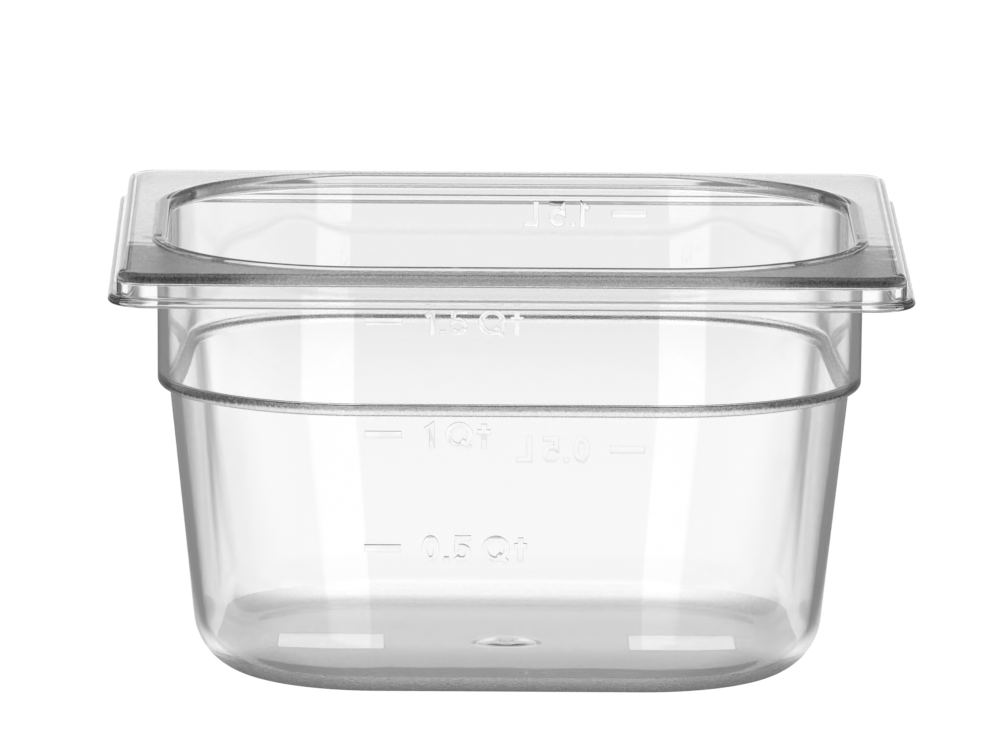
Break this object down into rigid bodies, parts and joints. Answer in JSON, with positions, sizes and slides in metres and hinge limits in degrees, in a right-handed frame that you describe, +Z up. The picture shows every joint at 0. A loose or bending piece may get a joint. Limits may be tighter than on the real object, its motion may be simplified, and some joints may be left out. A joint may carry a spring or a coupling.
{
  "type": "food pan",
  "caption": "Clear one-sixth gastronorm food pan, 176 x 162 x 97.5 mm, with a hooked rim, a stacking shoulder, a tapered body and raised level marks.",
  "frame": {"origin": "centre of the flat underside, on the surface the pan stands on", "axes": "+Z up, out of the open mouth; +X along the 176 mm side; the quart marks are on the -Y side and the litre marks on the +Y side"},
  "size_m": [0.176, 0.162, 0.0975],
  "materials": {
    "clear_plastic": "gloss",
    "frosted_plastic": "satin"
  },
  "bodies": {
    "root": {"rim_lip": "clear_plastic", "rim_skirt": "clear_plastic", "rim_flange": "clear_plastic", "upper_collar": "clear_plastic", "stacking_shoulder": "clear_plastic", "body_wall": "clear_plastic", "base_turn": "clear_plastic", "base_floor": "frosted_plastic", "gate_dome": "clear_plastic", "gate_stub": "frosted_plastic", "front_half_quart_tick": "clear_plastic", "front_half_quart_numeral_0": "clear_plastic", "front_half_quart_point": "clear_plastic", "front_half_quart_numeral_5": "clear_plastic", "front_half_quart_Q": "clear_plastic", "front_half_quart_t": "clear_plastic", "front_one_quart_tick": "clear_plastic", "front_one_quart_numeral_1": "clear_plastic", "front_one_quart_Q": "clear_plastic", "front_one_quart_t": "clear_plastic", "front_one_half_quart_tick": "clear_plastic", "front_one_half_quart_numeral_1": "clear_plastic", "front_one_half_quart_point": "clear_plastic", "front_one_half_quart_numeral_5": "clear_plastic", "front_one_half_quart_Q": "clear_plastic", "front_one_half_quart_t": "clear_plastic", "back_half_litre_tick": "clear_plastic", "back_half_litre_numeral_0": "clear_plastic", "back_half_litre_point": "clear_plastic", "back_half_litre_numeral_5": "clear_plastic", "back_half_litre_L": "clear_plastic", "back_one_half_litre_tick": "clear_plastic", "back_one_half_litre_numeral_1": "clear_plastic", "back_one_half_litre_point": "clear_plastic", "back_one_half_litre_numeral_5": "clear_plastic", "back_one_half_litre_L": "clear_plastic"}
  },
  "joints": []
}
